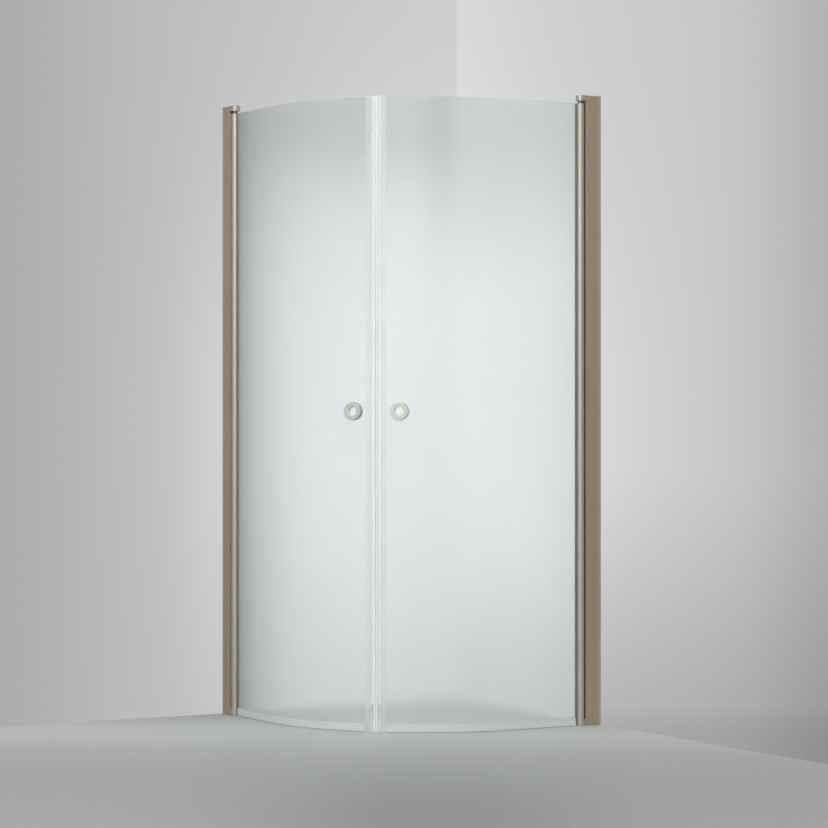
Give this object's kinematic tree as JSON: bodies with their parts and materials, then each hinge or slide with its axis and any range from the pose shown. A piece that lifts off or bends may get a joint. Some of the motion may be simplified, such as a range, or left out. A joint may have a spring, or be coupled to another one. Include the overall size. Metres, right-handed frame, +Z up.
{
  "type": "shower screen",
  "caption": "Quadrant shower screen with curved frosted glass doors on rise and fall wall hinges, magnet seals and ring handles.",
  "frame": {"origin": "middle of the bounding box in plan, at floor level: 450 mm from each of the two walls", "axes": "+Z up, +Y square into the wall that carries the left door, +X square into the wall that carries the right door; the screen bulges to -X and -Y"},
  "size_m": [0.9, 0.9, 2],
  "materials": {
    "bronze_anodised": "satin bronze anodised",
    "bronze_cast": "satin bronze lacquer",
    "champagne_anodised": "satin light bronze anodised",
    "handle_metal": "satin champagne anodised",
    "frosted_glass": "frosted",
    "clear_seal": "translucent",
    "magnet_white": "matt white",
    "dark_rubber": "matt",
    "cam_plastic": "matt",
    "collar_plastic": "gloss black",
    "cover_plastic": "matt bronze",
    "washer_plastic": "translucent",
    "screw_steel": "satin"
  },
  "bodies": {
    "wall_frame": {"wall_channel_left": "champagne_anodised", "hinge_post_left": "bronze_anodised", "profile_cap_left": "bronze_cast", "profile_foot_left": "bronze_cast", "top_hinge_bracket_left": "champagne_anodised", "bottom_hinge_block_left": "champagne_anodised", "cap_screws_left": "screw_steel", "adjusting_screws_left": "screw_steel", "screw_covers_left": "cover_plastic", "weather_strip_left": "dark_rubber", "top_pivot_pin_left": "screw_steel", "lower_cam_left": "cam_plastic", "wall_channel_right": "champagne_anodised", "hinge_post_right": "bronze_anodised", "profile_cap_right": "bronze_cast", "profile_foot_right": "bronze_cast", "top_hinge_bracket_right": "champagne_anodised", "bottom_hinge_block_right": "champagne_anodised", "cap_screws_right": "screw_steel", "adjusting_screws_right": "screw_steel", "screw_covers_right": "cover_plastic", "weather_strip_right": "dark_rubber", "top_pivot_pin_right": "screw_steel", "lower_cam_right": "cam_plastic"},
    "left_spindle": {"hinge_spindle_left": "screw_steel"},
    "left_door": {"cam_follower_left": "cam_plastic", "top_bush_left": "collar_plastic", "door_stile_left": "champagne_anodised", "glazing_gasket_left": "dark_rubber", "glass_door_left": "frosted_glass", "magnet_seal_left": "clear_seal", "magnet_strip_left": "magnet_white", "bottom_seal_clip_left": "clear_seal", "bottom_seal_fins_left": "clear_seal", "handle_outer_ring_left": "handle_metal", "handle_inner_ring_left": "handle_metal", "handle_washers_left": "washer_plastic"},
    "right_spindle": {"hinge_spindle_right": "screw_steel"},
    "right_door": {"cam_follower_right": "cam_plastic", "top_bush_right": "collar_plastic", "door_stile_right": "champagne_anodised", "glazing_gasket_right": "dark_rubber", "glass_door_right": "frosted_glass", "magnet_seal_right": "clear_seal", "magnet_strip_right": "magnet_white", "bottom_seal_clip_right": "clear_seal", "bottom_seal_fins_right": "clear_seal", "handle_outer_ring_right": "handle_metal", "handle_inner_ring_right": "handle_metal", "handle_washers_right": "washer_plastic"}
  },
  "joints": [
    {"name": "left_lift", "type": "slide", "parent": "wall_frame", "child": "left_spindle", "axis": [0, 0, 1], "range_m": [0, 0.0053]},
    {"name": "left_swing", "type": "hinge", "parent": "left_spindle", "child": "left_door", "pos_m": [-0.438, 0.379, 0], "axis": [0, 0, -1], "range_deg": [0, 95]},
    {"name": "right_lift", "type": "slide", "parent": "wall_frame", "child": "right_spindle", "axis": [0, 0, 1], "range_m": [0, 0.0053]},
    {"name": "right_swing", "type": "hinge", "parent": "right_spindle", "child": "right_door", "pos_m": [0.379, -0.438, 0], "axis": [0, 0, 1], "range_deg": [0, 95]}
  ],
  "couplings": [
    {"joint": "left_lift", "follows": "left_swing", "m_per_rad": 0.0031831},
    {"joint": "right_lift", "follows": "right_swing", "m_per_rad": 0.0031831}
  ]
}
